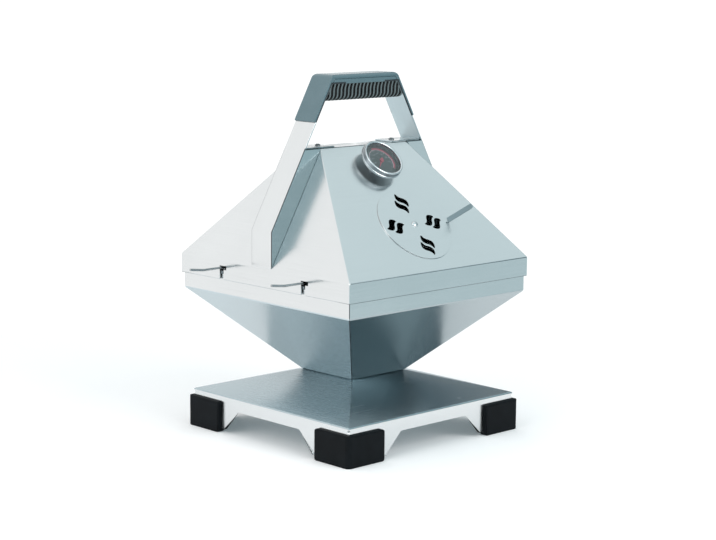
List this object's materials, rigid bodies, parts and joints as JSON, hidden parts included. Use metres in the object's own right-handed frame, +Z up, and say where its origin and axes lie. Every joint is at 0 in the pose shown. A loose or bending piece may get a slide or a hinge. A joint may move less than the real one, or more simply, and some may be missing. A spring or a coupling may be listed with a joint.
{
  "type": "tabletop charcoal grill",
  "caption": "Square tabletop charcoal grill with a pyramid lid, carrying handle, dial thermometer, turning damper, wire latches, lift-out grates and rubber corner feet.",
  "frame": {"origin": "on the table, under the centre of the base", "axes": "+X along the grip to the right, -Y out of the face with the thermometer, +Z up"},
  "size_m": [0.4364, 0.33, 0.4819],
  "materials": {
    "sheet_steel": "fine brushed stainless sheet",
    "plain_steel": "plain zinc-grey steel",
    "bright_steel": "bright polished steel",
    "dark_rods": "heat-darkened rod",
    "black_screw": "blackened screw",
    "foot_rubber": "matt black rubber",
    "grip_plastic": "satin grey moulding",
    "rib_rubber": "matt ribbed grip",
    "dial_paint": "matt dark dial",
    "pointer_paint": "matt red",
    "window_glass": "clear"
  },
  "bodies": {
    "base": {"base_shell": "sheet_steel", "foot_front_left": "foot_rubber", "foot_front_right": "foot_rubber", "foot_rear_left": "foot_rubber", "foot_rear_right": "foot_rubber", "bowl_floor": "sheet_steel", "bowl_front": "sheet_steel", "bowl_rear": "sheet_steel", "bowl_left": "sheet_steel", "bowl_right": "sheet_steel", "waist_bolts": "plain_steel", "waist_nuts": "plain_steel", "latch_lugs": "plain_steel"},
    "ash_pan": {"ash_pan": "plain_steel"},
    "charcoal_grate": {"charcoal_grate": "dark_rods"},
    "cooking_grate": {"cooking_grate": "bright_steel"},
    "lid": {"lid_top": "sheet_steel", "lid_front": "sheet_steel", "lid_rear": "sheet_steel", "lid_left": "sheet_steel", "lid_right": "sheet_steel", "skirt_upper_left": "sheet_steel", "skirt_upper_right": "sheet_steel", "skirt_lower_left": "sheet_steel", "skirt_lower_right": "sheet_steel", "lid_stops": "plain_steel", "handle_arm_left": "sheet_steel", "handle_arm_right": "sheet_steel", "lid_screws": "black_screw", "lid_nuts": "plain_steel", "grip_cover": "grip_plastic", "grip_insert": "rib_rubber", "grip_screws": "plain_steel", "gauge_stem": "plain_steel", "gauge_nut": "plain_steel", "gauge_case": "bright_steel", "gauge_dial": "dial_paint", "gauge_lens": "window_glass", "gauge_bezel": "bright_steel", "damper_rivet": "bright_steel", "damper_washer": "plain_steel"},
    "pointer": {"gauge_pointer": "pointer_paint"},
    "damper": {"damper_disc": "sheet_steel"},
    "latch_front_left": {"latch_lever_front_left": "bright_steel"},
    "latch_front_right": {"latch_lever_front_right": "bright_steel"},
    "latch_rear_left": {"latch_lever_rear_left": "bright_steel"},
    "latch_rear_right": {"latch_lever_rear_right": "bright_steel"}
  },
  "joints": [
    {"name": "ash_pan_lift", "type": "slide", "parent": "base", "child": "ash_pan", "axis": [0, 0, 1], "range_m": [0, 0.2]},
    {"name": "charcoal_grate_lift", "type": "slide", "parent": "ash_pan", "child": "charcoal_grate", "axis": [0, 0, 1], "range_m": [0, 0.2]},
    {"name": "cooking_grate_lift", "type": "slide", "parent": "charcoal_grate", "child": "cooking_grate", "axis": [0, 0, 1], "range_m": [0, 0.15]},
    {"name": "lid_lift", "type": "slide", "parent": "cooking_grate", "child": "lid", "axis": [0, 0, 1], "range_m": [0, 0.2]},
    {"name": "damper_turn", "type": "hinge", "parent": "lid", "child": "damper", "pos_m": [0, -0.11267, 0.29033], "axis": [0, -0.7118, 0.7023], "range_deg": [0, 45]},
    {"name": "pointer_turn", "type": "hinge", "parent": "lid", "child": "pointer", "pos_m": [0, -0.04279, 0.36116], "axis": [0, -0.7118, 0.7023], "range_deg": [-270, 0]},
    {"name": "latch_front_left_swing", "type": "hinge", "parent": "base", "child": "latch_front_left", "pos_m": [-0.1539, -0.08, 0.2276], "axis": [0, 0, 1], "range_deg": [0, 30]},
    {"name": "latch_front_right_swing", "type": "hinge", "parent": "base", "child": "latch_front_right", "pos_m": [0.1539, -0.08, 0.2276], "axis": [0, 0, -1], "range_deg": [0, 30]},
    {"name": "latch_rear_left_swing", "type": "hinge", "parent": "base", "child": "latch_rear_left", "pos_m": [-0.1539, 0.08, 0.2276], "axis": [0, 0, 1], "range_deg": [0, 30]},
    {"name": "latch_rear_right_swing", "type": "hinge", "parent": "base", "child": "latch_rear_right", "pos_m": [0.1539, 0.08, 0.2276], "axis": [0, 0, -1], "range_deg": [0, 30]}
  ]
}
